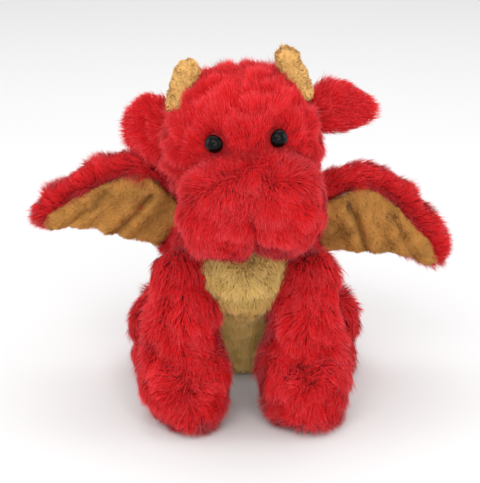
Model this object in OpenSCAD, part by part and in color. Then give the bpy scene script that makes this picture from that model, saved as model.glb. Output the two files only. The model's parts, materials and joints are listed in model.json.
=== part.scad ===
// Plush dragon hand puppet, sitting, with its front legs forward.
// Units are millimetres. +Z is up, -Y is the way the puppet faces, and +X is the puppet's left.
// The origin is the middle of the round hand opening, on the floor the puppet sits on.

/* [Body] */
// Height of the neck's turning centre above the floor
neck_height = 148; // [146:1:150]
// How far the neck's turning centre lies in front of the hand opening
neck_forward = 76; // [74:1:78]
// Largest radius of the body
body_radius = 55; // [54:0.5:56]
// Radius of the round neck that the head turns on
neck_radius = 36; // [35:0.5:36.5]
// Thickness of the fur fabric, backing and pressed pile together
fur_wall = 6; // [5.5:0.25:6]
// Radius of the chest's padded bulge
chest_radius = 30; // [28:0.5:31]

/* [Hand opening] */
// Radius of the round opening inside its bound edge
opening_radius = 36; // [34:0.5:36]
// Height of the bound edge
hem_height = 9; // [7:0.5:9]
// Radius of the room for the palm
palm_radius = 33; // [31:0.5:33]
// Radius of a finger pocket
finger_radius = 9; // [8.5:0.25:9.5]
// Thickness of the inner glove's lining fabric
lining_wall = 1.2; // [1:0.1:1.4]

/* [Head] */
// Largest radius of the skull
skull_radius = 50; // [48:0.5:50]
// Height of the skull above its widest part
skull_rise = 55; // [54:0.5:57]
// Radius of each muzzle lobe
lobe_radius = 31; // [30:0.5:31.5]
// Half the distance between the middles of the two muzzle lobes
lobe_spread = 16; // [15:0.5:17]
// How far the head leans to the puppet's right at rest, in degrees
head_roll = 4; // [2:0.5:5]
// How far the head is turned at rest, in degrees
head_turn = 4; // [2:0.5:5]
// Radius of an eye dome
eye_radius = 6; // [5.5:0.25:6.5]
// Length of a horn from its seat to its tip
horn_length = 24; // [22:0.5:26]
// Radius of a horn at its seat
horn_radius = 10; // [9.5:0.25:10]
// Length of an ear from its seam to its tip
ear_length = 42; // [38:1:44]

/* [Front legs] */
// Sideways distance of a shoulder from the middle
shoulder_x = 42; // [41:0.5:43]
// Radius of the round top of a front leg
shoulder_radius = 20; // [19:0.5:20.5]
// Radius of the paw's heel
paw_radius = 30; // [29:0.5:30]
// Length of the finger pocket down a front leg
leg_pocket_length = 50; // [44:1:54]

/* [Hind legs and tail] */
// Radius of the thigh
thigh_radius = 27; // [25:0.5:27]
// Radius of the tail at its root
tail_radius = 17; // [15:0.5:17]
// Length of the tail from its root ball to the middle of its round tip
tail_length = 80; // [76:1:92]

/* [Wings] */
// Thickness of the wing's fur back
wing_fur_thickness = 5; // [4:0.25:5]
// Thickness of the wadding inside a wing
wing_wadding_thickness = 3; // [2:0.25:3]
// Thickness of the wing's short-pile lining
wing_lining_thickness = 2.5; // [1.5:0.25:2.5]
// How far the right wing is lifted at rest, in degrees
right_wing_lift = 20; // [16:1:21]

/* [Hidden] */
$fn = 64;
gap = 0.4;
snug = 0.3;
// A round end stands out this much past its rod, so the two meet in a clean edge
bead = 0.6;
body_roundness = 2.4;
skull_roundness = 2.15;
egg_steps = 36;

base_y = 4;
neck = [0, -neck_forward, neck_height];
spine_lean = atan2(neck_forward + base_y, neck_height);
spine_length = norm([neck_forward + base_y, neck_height]);
egg_middle = 64;
egg_up = 92;
egg_down = 110;
chest = [0, -92, 90];
neck_pad_radius = 20;

shoulder_y = -98;
shoulder_z = 90;
heel = [40, -120, 29.5];
toes = [40, -131, 26.5];
toe_radius = 27;

hip = [55, -34, 31];
thigh_face = 42;
foot = [60, -60, 16.5];
foot_radius = 17;

tail_root = [0, 38, 60];
tail_drop = 28;
tail_tip_radius = 10;
tail_way = [0, cos(tail_drop), -sin(tail_drop)];

skull_y = -20;
skull_z = 30;
skull_drop = 46;
muzzle = [0, -60, 4];
muzzle_bridge = 28;
muzzle_crest = [12, -56, 17];
crest_radius = 22;
eye_height = 48;
eye_side = 26;
eye_depth = 45;
horn_seat = [36, -19, 62];
horn_tip_radius = 6.5;
ear_low = [48, -4, 36];
ear_high = [44, -4, 58];
ear_bead = 4;
ear_thickness = 8;

wing_low = [53, -42, 90];
wing_high = [38, -52, 128];
wing_middle = (wing_low + wing_high) / 2;
wing_lean = 14.8;
wing_bead = 5;
wing_thickness = wing_fur_thickness + wing_wadding_thickness + wing_lining_thickness + 0.6;

red = [0.80, 0.13, 0.14];
gold = [0.62, 0.44, 0.24];
filling = [0.93, 0.92, 0.89];
lining = [0.16, 0.14, 0.14];

// ---- Helpers ----

// A solid of revolution whose outline is a rounded egg, grown by g all over.
// It is turned so that its seam lies where nothing cuts it.
module egg(radius, up, down, roundness, g) {
  outline = [
    for (i = [0:egg_steps])
      let (a = -90 + 180 * i / egg_steps,
           out = i == 0 || i == egg_steps ? 0 : pow(cos(a), 2 / roundness),
           rise = sign(sin(a)) * pow(abs(sin(a)), 2 / roundness))
        [(radius + g) * out, rise * (a < 0 ? down + g : up + g)]
  ];
  rotate([0, 0, 100]) rotate_extrude() polygon(outline);
}

// Puts a child that stands on the origin and points along +Z at a, pointing to b.
module aim(a, b) {
  d = b - a;
  translate(a)
    rotate([0, acos(d[2] / norm(d)), atan2(d[1], d[0])])
      children();
}

module rod(a, b, ra, rb) {
  aim(a, b) cylinder(r1 = ra, r2 = rb, h = norm(b - a));
}

// A ball, turned so that the seam of its surface lies off the planes the other solids share.
module ball(at, r, turn = [0, 0, 110]) {
  translate(at) rotate(turn) sphere(r = r);
}

// The frame whose +Z runs up the middle of the body from the floor to the neck.
module along_spine() {
  translate([0, base_y, 0]) rotate([spine_lean, 0, 0]) children();
}

function on_spine(s) = [0, base_y - s * sin(spine_lean), s * cos(spine_lean)];

module below(z) {
  translate([-300, -400, z - 200]) cube([600, 800, 200]);
}

// Where the heel of a front leg comes to when the leg has swung forwards by this many degrees.
function swung_heel(side, degrees) =
  let (y = heel[1] - shoulder_y, z = heel[2] - shoulder_z)
    [side * heel[0],
     shoulder_y + y * cos(degrees) + z * sin(degrees),
     shoulder_z - y * sin(degrees) + z * cos(degrees)];

// The space each limb needs in the body, kept clear by g more than the limb's own size.
module front_leg_room(g) {
  for (side = [-1, 1]) {
    top = [side * shoulder_x, shoulder_y, shoulder_z];
    ball(top, shoulder_radius + g);
    rod(top, [side * heel[0], heel[1], heel[2]], shoulder_radius - bead + g, paw_radius + g);
    rod(top, [side * heel[0], heel[1] + 7, heel[2] - 4], shoulder_radius - bead + g, paw_radius + g);
    for (degrees = [17, 34, 51])
      rod(top, swung_heel(side, degrees), shoulder_radius - bead + g, paw_radius + g);
  }
}

module hind_leg_room(g) {
  for (side = [-1, 1])
    intersection() {
      union() {
        ball([side * hip[0], hip[1], hip[2]], thigh_radius + g);
        ball([side * foot[0], foot[1], foot[2]], foot_radius + 4 + g);
      }
      translate([side > 0 ? thigh_face - g : -200, -300, -100]) cube([200 - thigh_face + g, 600, 300]);
    }
}

// The tail's socket, which widens outwards so that the tail can sway.
module tail_room(g) {
  ball(tail_root, tail_radius + g);
  rod(tail_root, tail_root + 30 * tail_way, tail_radius - bead + g, tail_radius + 7 + g);
}

module wing_channels(g) {
  for (side = [-1, 1]) {
    low = [side * wing_low[0], wing_low[1], wing_low[2]];
    high = [side * wing_high[0], wing_high[1], wing_high[2]];
    rod(low, high, wing_bead + g, wing_bead + g);
    ball(low, wing_bead + bead + g);
    ball(high, wing_bead + bead + g);
  }
}

// ---- Body ----

// The body's outer form, grown by g: negative for what lies inside the fur fabric.
module body_form(g) {
  difference() {
    union() {
      along_spine() translate([0, 0, egg_middle]) egg(body_radius, egg_up, egg_down, body_roundness, g);
      ball(neck, neck_radius + g);
      ball(chest, chest_radius + g);
    }
    front_leg_room(gap - g);
    hind_leg_room(gap - g);
    tail_room(gap - g);
    wing_channels(gap);
    below(-g);
    translate([-150, -47, 0]) rotate([45, 0, 0]) translate([0, -200, -100 - g]) cube([300, 220, 100]);
  }
}

// The front strip that the gold panel takes out of the red skin.
module belly_zone(g) {
  along_spine() translate([-27 - g, -200, -60]) cube([54 + 2 * g, 172 + g, 205 + g]);
}

// The room for the hand: the palm, the way to the shoulders and the way to the head.
module hand_form(g) {
  translate([0, 0, hem_height + 0.3 - lining_wall + g]) rotate([0, 0, 70])
    cylinder(r = opening_radius - 1.5 + g, h = 20);
  rod(on_spine(31), on_spine(96), palm_radius - bead + g, palm_radius - bead + g);
  ball(on_spine(96), palm_radius + g);
  rod(on_spine(96), neck, finger_radius + 1 + g, finger_radius + 1 + g);
  rod([0, -60, 90], [0, shoulder_y, shoulder_z], 14 + g, finger_radius + 3 - bead + g);
  ball([0, shoulder_y, shoulder_z], finger_radius + 3 + g);
  rod([-shoulder_x, shoulder_y, shoulder_z], [shoulder_x, shoulder_y, shoulder_z],
      finger_radius + 1 + g, finger_radius + 1 + g);
}

// Leaves the way open for the head's pocket to tilt.
module neck_mouth() {
  along_spine() translate([0, 0, spine_length + 8]) cylinder(r1 = 20, r2 = 33, h = 32);
}

// Ends the glove's side passages short of the front legs, which widen below their round tops.
module beside_shoulders() {
  inner = shoulder_x - shoulder_radius - 1.8;
  for (side = [-1, 1])
    translate([side * (inner + 50), shoulder_y, shoulder_z]) cube([100, 36, 60], center = true);
}

module body_shell() {
  difference() {
    body_form(0);
    body_form(-fur_wall);
    neck_mouth();
    hand_form(lining_wall + snug);
    translate([0, 0, -1]) cylinder(r = opening_radius + 5.2, h = hem_height + 2);
  }
}

module body_skin() {
  color(red)
    difference() {
      body_shell();
      belly_zone(0.2);
    }
}

module belly_panel() {
  color(gold)
    intersection() {
      body_shell();
      belly_zone(0);
    }
}

module body_stuffing() {
  color(filling)
    difference() {
      body_form(-fur_wall - snug);
      hand_form(lining_wall + snug);
      neck_mouth();
      ball(neck, neck_pad_radius + gap);
      translate([0, 0, -1]) cylinder(r = opening_radius + 5.2, h = hem_height + 2);
    }
}

module palm_glove() {
  color(lining)
    difference() {
      hand_form(lining_wall);
      hand_form(0);
      ball(neck, neck_pad_radius + gap);
      beside_shoulders();
    }
}

module opening_hem() {
  color(lining)
    rotate_extrude()
      difference() {
        translate([opening_radius, 0]) square([5, hem_height]);
        translate([opening_radius + 2.2, hem_height - 1.5]) square([0.6, 2]);
      }
}

module neck_pad() {
  color(filling)
    difference() {
      ball(neck, neck_pad_radius);
      along_spine() translate([0, 0, spine_length - 40])
        cylinder(r = finger_radius + 1.6, h = 80);
    }
}

// ---- Head: built around the neck's turning centre ----

module in_head() {
  translate(neck) rotate([0, -head_roll, head_turn]) children();
}

module head_form(g) {
  difference() {
    translate([0, skull_y, skull_z]) egg(skull_radius, skull_rise, skull_drop, skull_roundness, g);
    sphere(r = neck_radius + gap - g);
    ear_slots();
  }
}

// The slot that each ear's root is sewn into, wide enough for the ear to flop.
module ear_slots() {
  middle = (ear_low + ear_high) / 2;
  rise = ear_high[2] - ear_low[2];
  slope = atan2(ear_low[0] - ear_high[0], rise);
  width = 2 * (ear_bead + bead + gap);
  for (side = [-1, 1])
    translate([side * middle[0], middle[1], middle[2]])
      rotate([0, -side * slope, 0])
        cube([width, 15, rise + width + 1], center = true);
}

module eye_frame(side) {
  translate([0, skull_y, eye_height])
    rotate([0, 0, side * eye_side])
      translate([0, -eye_depth, 0])
        rotate([90, 0, 0])
          children();
}

module horn_frame(side) {
  translate([side * horn_seat[0], horn_seat[1], horn_seat[2]]) rotate([2, -side * 2, 0]) children();
}

// The seat that a horn stands in, a shallow round pocket in the fur.
module horn_seats(g) {
  for (side = [-1, 1])
    horn_frame(side) translate([0, 0, -4]) cylinder(r = horn_radius + g, h = 40);
}

module head_skin() {
  color(red) in_head()
    difference() {
      head_form(0);
      head_form(-fur_wall);
      head_pocket_form(lining_wall + snug);
      horn_seats(snug);
      for (side = [-1, 1])
        eye_frame(side) {
          cylinder(r = eye_radius + 0.5, h = 20);
          translate([0, 0, -20]) cylinder(r = 2.5, h = 30);
        }
    }
}

// The head's finger pocket runs on from the neck, a little forward of straight up.
pocket_end = [0, -28, 52];

module head_pocket_form(g) {
  d = pocket_end / norm(pocket_end);
  rod(d * (neck_pad_radius + 2), pocket_end, finger_radius + g, finger_radius + g);
  ball(pocket_end, finger_radius + bead + g);
}

module finger_pocket_head() {
  color(lining) in_head()
    difference() {
      head_pocket_form(lining_wall);
      head_pocket_form(0);
      sphere(r = neck_pad_radius + 3);
    }
}

module head_stuffing() {
  color(filling) in_head()
    difference() {
      head_form(-fur_wall - snug);
      head_pocket_form(lining_wall + snug);
      horn_seats(snug);
      for (side = [-1, 1])
        eye_frame(side) translate([0, 0, -17]) cylinder(r = 8, h = 20);
    }
}

module muzzle_form(g) {
  for (side = [-1, 1]) {
    translate(muzzle + [side * lobe_spread, 0, 0]) sphere(r = lobe_radius + g);
    ball(at_side(side, muzzle_crest), crest_radius + g);
  }
  translate(muzzle - [lobe_spread, 0, 0]) rotate([0, 90, 0]) cylinder(r = muzzle_bridge + g, h = 2 * lobe_spread);
}

module behind_muzzle(g) {
  translate([0, skull_y, skull_z]) egg(skull_radius, skull_rise, skull_drop, skull_roundness, g);
  sphere(r = neck_radius + 12);
}

module muzzle_skin() {
  color(red) in_head()
    difference() {
      muzzle_form(0);
      muzzle_form(-fur_wall);
      behind_muzzle(snug);
    }
}

module muzzle_stuffing() {
  color(filling) in_head()
    difference() {
      muzzle_form(-fur_wall - snug);
      behind_muzzle(snug);
    }
}

module muzzle_stitch() {
  color(lining) in_head()
    translate(muzzle)
      rotate([0, 90, 0])
        rotate([0, 0, -100])
          rotate_extrude(angle = 70) translate([muzzle_bridge + 1, 0]) circle(r = 0.8);
}

module eye(side) {
  color([0.02, 0.02, 0.02]) in_head() eye_frame(side) {
    difference() {
      sphere(r = eye_radius);
      translate([-10, -10, -20]) cube([20, 20, 20.8]);
    }
    translate([0, 0, -14]) cylinder(r = 2.1, h = 16);
  }
}

module eye_left() {
  eye(1);
}

module eye_right() {
  eye(-1);
}

module eye_washers() {
  color([0.92, 0.92, 0.90]) in_head()
    for (side = [-1, 1])
      eye_frame(side) translate([0, 0, -10.5])
        difference() {
          cylinder(r = 6.5, h = 1.5);
          translate([0, 0, -1]) cylinder(r = 2.2, h = 4);
        }
}

module horn_form(side, g) {
  horn_frame(side) {
    cylinder(r1 = horn_radius + g, r2 = horn_radius - 2 + g, h = horn_length * 0.55);
    translate([0, 0, horn_length * 0.55])
      rotate([0, -side * 16, 0]) {
        sphere(r = horn_radius - 2 + g);
        cylinder(r1 = horn_radius - 2 + g, r2 = horn_tip_radius + g, h = horn_length * 0.4);
        translate([0, 0, horn_length * 0.4]) sphere(r = horn_tip_radius + g);
      }
  }
}

module horn(side) {
  color(gold) in_head()
    difference() {
      horn_form(side, 0);
      horn_form(side, -2.5);
      horn_frame(side) translate([0, 0, -2]) cylinder(r = horn_radius - 2.5, h = 3);
    }
}

module horn_left() {
  horn(1);
}

module horn_right() {
  horn(-1);
}

module horn_stuffing() {
  color(filling) in_head()
    for (side = [-1, 1])
      difference() {
        horn_form(side, -2.5 - snug);
        horn_frame(side) translate([-20, -20, -19.5]) cube([40, 40, 20]);
      }
}

// An ear lies flat in its own plane: outwards from the seam, upwards, and through its thickness.
module ear_outline() {
  polygon([[3, -11], [14, -17], [26, -15], [ear_length - 6, -9], [ear_length, 0],
           [ear_length - 5, 8], [28, 15], [14, 17], [3, 11]]);
}

module ear_frame(side, back, droop) {
  middle = (ear_low + ear_high) / 2;
  translate([side * middle[0], middle[1], middle[2]])
    mirror([side > 0 ? 0 : 1, 0, 0])
      rotate([0, 0, back])
        rotate([0, -droop, 0])
          rotate([90, 0, 0])
            children();
}

module ear(side, back, droop) {
  color(red) in_head() {
    low = [side * ear_low[0], ear_low[1], ear_low[2]];
    high = [side * ear_high[0], ear_high[1], ear_high[2]];
    rod(low, high, ear_bead, ear_bead);
    ball(low, ear_bead + bead);
    ball(high, ear_bead + bead);
    ear_frame(side, back, droop)
      translate([0, 0, -ear_thickness / 2]) linear_extrude(ear_thickness) ear_outline();
  }
}

module ear_left() {
  ear(1, 4, 6);
}

module ear_right() {
  ear(-1, 42, -12);
}

// ---- Front legs ----

function at_side(side, p) = [side * p[0], p[1], p[2]];

module leg_form(side, g) {
  top = [side * shoulder_x, shoulder_y, shoulder_z];
  difference() {
    union() {
      ball(top, shoulder_radius + g, [0, 0, 0]);
      rod(top, at_side(side, heel), shoulder_radius - bead + g, paw_radius - 1 + g);
      ball(at_side(side, heel), paw_radius + g, [0, 0, 0]);
      ball(at_side(side, toes), toe_radius + g, [0, 0, 0]);
    }
    below(-g);
  }
}

// The finger comes in along the shoulder's turning axis and bends down the leg.
module leg_pocket_form(side, g) {
  top = [side * shoulder_x, shoulder_y, shoulder_z];
  d = (at_side(side, heel) - top) / norm(at_side(side, heel) - top);
  r = finger_radius + g;
  rod(top - [side * 18, 0, 0], top, r - bead, r - bead);
  ball(top, r, [0, 0, 0]);
  rod(top, top + d * leg_pocket_length, r - bead, r - bead);
  ball(top + d * leg_pocket_length, r, [0, 0, 0]);
}

module leg_mouth(side, r) {
  top = [side * shoulder_x, shoulder_y, shoulder_z];
  rod(top - [side * 40, 0, 0], top, r, r);
}

module leg_skin(side) {
  color(red)
    difference() {
      leg_form(side, 0);
      leg_form(side, -fur_wall);
      leg_mouth(side, finger_radius + lining_wall + snug);
    }
}

module leg_stuffing(side) {
  color(filling)
    difference() {
      leg_form(side, -fur_wall - snug);
      leg_pocket_form(side, lining_wall + snug);
      leg_mouth(side, finger_radius + lining_wall + snug);
    }
}

module finger_pocket(side) {
  top = [side * shoulder_x, shoulder_y, shoulder_z];
  color(lining)
    difference() {
      leg_pocket_form(side, lining_wall);
      leg_pocket_form(side, 0);
      rod(top - [side * 40, 0, 0], top - [side * 17, 0, 0], 20, 20);
    }
}

module leg_left_skin() {
  leg_skin(1);
}

module leg_left_stuffing() {
  leg_stuffing(1);
}

module finger_pocket_left() {
  finger_pocket(1);
}

module leg_right_skin() {
  leg_skin(-1);
}

module leg_right_stuffing() {
  leg_stuffing(-1);
}

module finger_pocket_right() {
  finger_pocket(-1);
}

// ---- Hind legs ----

module hind_form(side, g) {
  intersection() {
    union() {
      ball(at_side(side, hip), thigh_radius + g, [25, 35, 110]);
      ball(at_side(side, foot), foot_radius + g, [25, 35, 110]);
      rod(at_side(side, hip), at_side(side, foot), thigh_radius - 5 + g, foot_radius - bead + g);
    }
    translate([side > 0 ? thigh_face + gap - g : -200, -300, -g]) cube([200 - thigh_face - gap + g, 600, 300]);
  }
}

module hind_skin(side) {
  color(red)
    difference() {
      hind_form(side, 0);
      hind_form(side, -fur_wall);
    }
}

module hind_left_skin() {
  mirror([1, 0, 0]) hind_skin(-1);
}

module hind_right_skin() {
  hind_skin(-1);
}

module hind_left_stuffing() {
  color(filling) mirror([1, 0, 0]) hind_form(-1, -fur_wall - snug);
}

module hind_right_stuffing() {
  color(filling) hind_form(-1, -fur_wall - snug);
}

// ---- Tail ----

module tail_form(g) {
  tip = tail_root + tail_length * tail_way;
  ball(tail_root, tail_radius + g);
  rod(tail_root, tip, tail_radius - bead + g, tail_tip_radius - bead + g);
  ball(tip, tail_tip_radius + g);
}

module tail_skin() {
  color(red)
    difference() {
      tail_form(0);
      tail_form(-fur_wall);
    }
}

module tail_stuffing() {
  color(filling) tail_form(-fur_wall - snug);
}

// ---- Wings ----

// The outline of a wing in its own plane, from the shoulder seam to the tip.
module wing_outline() {
  polygon([[8, -19], [22, -18], [38, -21], [56, -20], [72, -25], [88, -33], [96, -30], [97, -20],
           [86, 2], [68, 27], [50, 42], [34, 46], [18, 39], [2, 26], [-6, 18]]);
}

module wing_lining_outline() {
  polygon([[9, -17], [22, -16], [38, -19], [56, -18], [72, -23], [86, -30], [90, -27], [88, -18],
           [77, 0], [60, 20], [45, 33], [34, 37], [20, 31], [5, 21], [-3, 15]]);
}

module wing_frame(side) {
  translate(at_side(side, wing_middle))
    mirror([side > 0 ? 0 : 1, 0, 0])
      rotate([90 + wing_lean, 0, 0])
        children();
}

// Keeps a lifted wing on the outer side of its seam.
module wing_side() {
  seam_slope = atan2(wing_low[0] - wing_high[0], (wing_high[2] - wing_low[2]) / cos(wing_lean));
  rotate([0, 0, seam_slope]) translate([3.5, -120, -40]) cube([200, 240, 80]);
}

module wing_layer(side, lift, from, thick) {
  wing_frame(side)
    intersection() {
      rotate([0, 0, lift]) translate([0, 0, from]) linear_extrude(thick) children();
      wing_side();
    }
}

wing_front = wing_thickness / 2;

module wing_fur(side, lift) {
  color(red) {
    rod(at_side(side, wing_low), at_side(side, wing_high), wing_bead, wing_bead);
    ball(at_side(side, wing_low), wing_bead + bead);
    ball(at_side(side, wing_high), wing_bead + bead);
    wing_layer(side, lift, -wing_front, wing_fur_thickness) wing_outline();
  }
}

module wing_wadding(side, lift) {
  color(filling)
    difference() {
      wing_layer(side, lift, -wing_front + wing_fur_thickness + 0.3, wing_wadding_thickness) wing_lining_outline();
      wing_root_clear(side);
    }
}

module wing_lining(side, lift) {
  color(gold)
    difference() {
      wing_layer(side, lift, wing_front - wing_lining_thickness, wing_lining_thickness) wing_lining_outline();
      wing_root_clear(side);
    }
}

module wing_root_clear(side) {
  rod(at_side(side, wing_low), at_side(side, wing_high), wing_bead + snug, wing_bead + snug);
  ball(at_side(side, wing_low), wing_bead + bead + snug);
  ball(at_side(side, wing_high), wing_bead + bead + snug);
}

module wing_left_fur() {
  wing_fur(1, 0);
}

module wing_left_wadding() {
  wing_wadding(1, 0);
}

module wing_left_lining() {
  wing_lining(1, 0);
}

module wing_right_fur() {
  wing_fur(-1, right_wing_lift);
}

module wing_right_wadding() {
  wing_wadding(-1, right_wing_lift);
}

module wing_right_lining() {
  wing_lining(-1, right_wing_lift);
}

body_skin();
belly_panel();
body_stuffing();
palm_glove();
opening_hem();
neck_pad();
head_skin();
head_stuffing();
finger_pocket_head();
muzzle_skin();
muzzle_stuffing();
muzzle_stitch();
eye_left();
eye_right();
eye_washers();
horn_left();
horn_right();
horn_stuffing();
ear_left();
ear_right();
leg_left_skin();
leg_left_stuffing();
finger_pocket_left();
leg_right_skin();
leg_right_stuffing();
finger_pocket_right();
hind_left_skin();
hind_left_stuffing();
hind_right_skin();
hind_right_stuffing();
tail_skin();
tail_stuffing();
wing_left_fur();
wing_left_wadding();
wing_left_lining();
wing_right_fur();
wing_right_wadding();
wing_right_lining();
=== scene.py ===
"""Plush dragon hand puppet: fur skins, gold plush, lining, eyes and stuffing, built in sewing order.

Every size is in millimetres until a mesh is made, and metres after that.
"""
import json
import math

import bmesh
import bpy
import numpy as np
from mathutils import Euler, Matrix, Vector, kdtree


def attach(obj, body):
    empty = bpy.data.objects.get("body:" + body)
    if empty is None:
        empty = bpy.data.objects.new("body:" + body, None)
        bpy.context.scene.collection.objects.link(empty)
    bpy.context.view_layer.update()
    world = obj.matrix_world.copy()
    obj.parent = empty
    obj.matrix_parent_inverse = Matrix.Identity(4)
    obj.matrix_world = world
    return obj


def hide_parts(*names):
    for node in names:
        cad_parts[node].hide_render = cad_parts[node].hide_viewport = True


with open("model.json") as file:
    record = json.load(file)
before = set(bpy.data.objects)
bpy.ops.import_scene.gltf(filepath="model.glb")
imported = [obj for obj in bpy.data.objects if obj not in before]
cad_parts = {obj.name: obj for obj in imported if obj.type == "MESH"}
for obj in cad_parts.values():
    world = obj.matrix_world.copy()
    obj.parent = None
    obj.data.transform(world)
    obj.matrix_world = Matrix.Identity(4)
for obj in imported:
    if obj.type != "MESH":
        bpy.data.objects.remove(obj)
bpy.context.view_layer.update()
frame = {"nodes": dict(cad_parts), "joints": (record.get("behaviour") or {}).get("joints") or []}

# ---- Body skin ----
# The body is a bag of red fur fabric, leaning forward from the base to a round neck.
# It is cut in panels, turned, stuffed, and closed round the hand opening in its base.

MM = 0.001
SKIN_DEPTH = 4.6


def pivot(joint):
    """Where a joint turns, from the frame, in millimetres."""
    for row in frame["joints"]:
        if row["name"] == joint:
            return np.array(row["pos_m"]) / MM
    raise KeyError(joint)


def mirrored(point, side):
    """A point given for the puppet's left, moved to its other side when side is -1."""
    return np.array((point[0] * side, point[1], point[2]), float)


def smooth_step(x, low, high):
    """0 below low, 1 above high, and an easy rise between them."""
    t = np.clip((x - low) / (high - low), 0.0, 1.0)
    return t * t * (3.0 - 2.0 * t)


def unit(v):
    """Vectors scaled to length one."""
    return v / np.maximum(np.linalg.norm(v, axis=-1, keepdims=True), 1e-9)


class Ripple:
    """Smooth noise made of a few crossing waves, the same on every run."""

    def __init__(self, seed, wavelength, waves=7):
        draw = np.random.default_rng(seed)
        heading = unit(draw.normal(size=(waves, 3)))
        stretch = draw.uniform(0.6, 1.7, size=(waves, 1))
        self.wave = heading * stretch * 2.0 * math.pi / wavelength
        self.phase = draw.uniform(0.0, 2.0 * math.pi, size=waves)
        self.scale = 1.5 / math.sqrt(waves)

    def __call__(self, points):
        return np.sin(points @ self.wave.T + self.phase).sum(axis=1) * self.scale


def ripple_vector(seed, wavelength, points):
    """Three ripples side by side, as a vector at each point."""
    return np.stack([Ripple(seed + i, wavelength)(points) for i in range(3)], axis=1)


def new_object(name, mesh):
    """A mesh object in the scene."""
    made = bpy.data.objects.new(name, mesh)
    bpy.context.scene.collection.objects.link(made)
    return made


def add_ball(bm, at, radius):
    """A closed ball."""
    bmesh.ops.create_icosphere(bm, subdivisions=4, radius=radius, matrix=Matrix.Translation(Vector(at)))


def add_rod(bm, a, b, radius_a, radius_b):
    """A closed round bar from a to b."""
    a, b = Vector(a), Vector(b)
    turn = (b - a).to_track_quat("Z", "Y").to_matrix().to_4x4()
    bmesh.ops.create_cone(
        bm, cap_ends=True, segments=48, radius1=radius_a, radius2=radius_b,
        depth=(b - a).length, matrix=Matrix.Translation((a + b) / 2) @ turn,
    )


BODY_ROUNDNESS = 2.4
SKULL_ROUNDNESS = 2.15


def add_egg(bm, place, radius, up, down, roundness):
    """The rounded egg that the body and the skull are cut to."""
    steps, around = 40, 64
    rings = []
    for i in range(steps + 1):
        a = math.radians(-90 + 180 * i / steps)
        out = max(math.cos(a), 0.0) ** (2 / roundness) * radius
        rise = math.copysign(abs(math.sin(a)) ** (2 / roundness), a) * (up if a > 0 else down)
        if i in (0, steps):
            rings.append([bm.verts.new(place @ Vector((0, 0, rise)))])
            continue
        rings.append([
            bm.verts.new(place @ Vector((
                out * math.cos(2 * math.pi * k / around), out * math.sin(2 * math.pi * k / around), rise,
            )))
            for k in range(around)
        ])
    for low, high in zip(rings, rings[1:]):
        for k in range(around):
            n = (k + 1) % around
            if len(low) == 1:
                bm.faces.new((low[0], high[n], high[k]))
            elif len(high) == 1:
                bm.faces.new((low[k], low[n], high[0]))
            else:
                bm.faces.new((low[k], low[n], high[n], high[k]))


def settle(made):
    """Makes an object's modifiers part of its mesh."""
    graph = bpy.context.evaluated_depsgraph_get()
    mesh = bpy.data.meshes.new_from_object(made.evaluated_get(graph))
    made.modifiers.clear()
    made.data = mesh
    return made


def stuffed(name, bm, cell, passes):
    """Joins overlapping closed shapes into one even skin, and rounds it as stuffing would."""
    bmesh.ops.scale(bm, vec=(MM, MM, MM), verts=bm.verts)
    mesh = bpy.data.meshes.new(name)
    bm.to_mesh(mesh)
    bm.free()
    made = new_object(name, mesh)
    join = made.modifiers.new("join", "REMESH")
    join.mode = "VOXEL"
    join.voxel_size = cell * MM
    ease = made.modifiers.new("ease", "SMOOTH")
    ease.factor = 0.5
    ease.iterations = passes
    settle(made)
    for face in made.data.polygons:
        face.use_smooth = True
    return made


def points_of(made):
    """A mesh's points, in millimetres."""
    flat = np.empty(len(made.data.vertices) * 3)
    made.data.vertices.foreach_get("co", flat)
    return flat.reshape(-1, 3) / MM


def normals_of(made):
    """A mesh's point normals."""
    flat = np.empty(len(made.data.vertices) * 3)
    made.data.vertices.foreach_get("normal", flat)
    return flat.reshape(-1, 3)


def move_points(made, points):
    """Puts a mesh's points at these places, in millimetres."""
    made.data.vertices.foreach_set("co", (points * MM).ravel())
    made.data.update()


def press_in(made, inside, step=1.5, most=45):
    """Pushes the skin inwards wherever it is inside another limb's room."""
    points, normals = points_of(made), normals_of(made)
    for _ in range(most):
        hit = inside(points)
        if not hit.any():
            break
        points[hit] -= normals[hit] * step
    move_points(made, points)


def from_ball(points, at, radius):
    """Distance outside a ball."""
    return np.linalg.norm(points - at, axis=1) - radius


def from_rod(points, a, b, radius_a, radius_b):
    """Distance outside a round bar with round ends."""
    along = np.asarray(b, float) - a
    t = np.clip((points - a) @ along / (along @ along), 0.0, 1.0)
    middle = np.asarray(a) + t[:, None] * along
    return np.linalg.norm(points - middle, axis=1) - (radius_a + (radius_b - radius_a) * t)


neck = pivot("neck_turn")
BASE = np.array((0.0, 4.0, 0.0))
spine = unit(neck - BASE)
spine_front = unit(np.cross(spine, (1.0, 0.0, 0.0)))
if spine_front[1] > 0:
    spine_front = -spine_front
BODY_MIDDLE = 64
CHEST = np.array((0.0, -92.0, 90.0))
CHEST_RADIUS = 30
BODY_RADIUS = 55
BODY_UP = 92
BODY_DOWN = 110
NECK_RADIUS = 36
FLOOR_GAP = 2.0

shoulder = {side: pivot(f"leg_{word}_swing") for side, word in ((1, "left"), (-1, "right"))}
HEEL = (40.0, -120.0, 29.5)
TOES = (40.0, -131.0, 26.5)
HIP = (55.0, -34.0, 31.0)
FOOT = (60.0, -60.0, 16.5)
SHOULDER_RADIUS = 20
HEEL_RADIUS = 30
TOE_RADIUS = 27
THIGH_RADIUS = 27
FOOT_RADIUS = 17


def from_front_leg(points, side):
    """Distance outside a front leg."""
    heel = mirrored(HEEL, side)
    return np.minimum.reduce([
        from_rod(points, shoulder[side], heel, SHOULDER_RADIUS, HEEL_RADIUS),
        from_ball(points, mirrored(TOES, side), TOE_RADIUS),
    ])


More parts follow.
